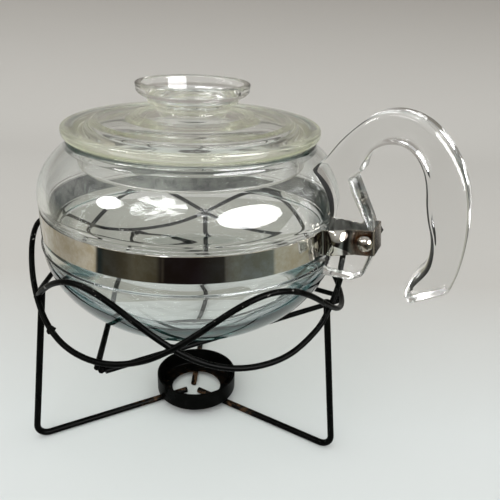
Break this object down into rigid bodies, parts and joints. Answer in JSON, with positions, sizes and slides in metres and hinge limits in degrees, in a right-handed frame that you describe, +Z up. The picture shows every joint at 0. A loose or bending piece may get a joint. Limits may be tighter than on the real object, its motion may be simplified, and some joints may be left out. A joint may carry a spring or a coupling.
{
  "type": "glass teapot on candle warmer",
  "caption": "Squat clear glass teapot with lid and hook-shaped glass handle held by a steel band, on a black wire stand with a cup for a tealight.",
  "frame": {"origin": "on the floor under the middle of the wire stand, which is also the pot's and lid's axis", "axes": "+Z up along the axis of the pot; +X from the axis towards the handle; +Y completes the right-handed frame"},
  "size_m": [0.2154, 0.1637, 0.1782],
  "materials": {
    "clear_glass": "clear pressed and blown glass, slightly green in the thick parts",
    "steel_strap": "bright rolled stainless strip",
    "screw_steel": "plain steel fasteners",
    "black_paint": "satin black paint on steel wire"
  },
  "bodies": {
    "stand": {"wave_ring_outer": "black_paint", "wave_ring_inner": "black_paint", "leg_handle_side": "black_paint", "leg_back": "black_paint", "leg_front": "black_paint", "support_wire_a": "black_paint", "support_wire_b": "black_paint", "support_wire_c": "black_paint", "candle_cup": "black_paint"},
    "pot": {"bowl": "clear_glass", "band": "steel_strap", "handle": "clear_glass", "clamp_screw": "screw_steel", "clamp_nut": "screw_steel"},
    "lid": {"lid": "clear_glass"}
  },
  "joints": [
    {"name": "pot_lift", "type": "slide", "parent": "stand", "child": "pot", "axis": [0, 0, 1], "range_m": [0, 0.1]},
    {"name": "lid_lift", "type": "slide", "parent": "pot", "child": "lid", "axis": [0, 0, 1], "range_m": [0, 0.06]}
  ]
}
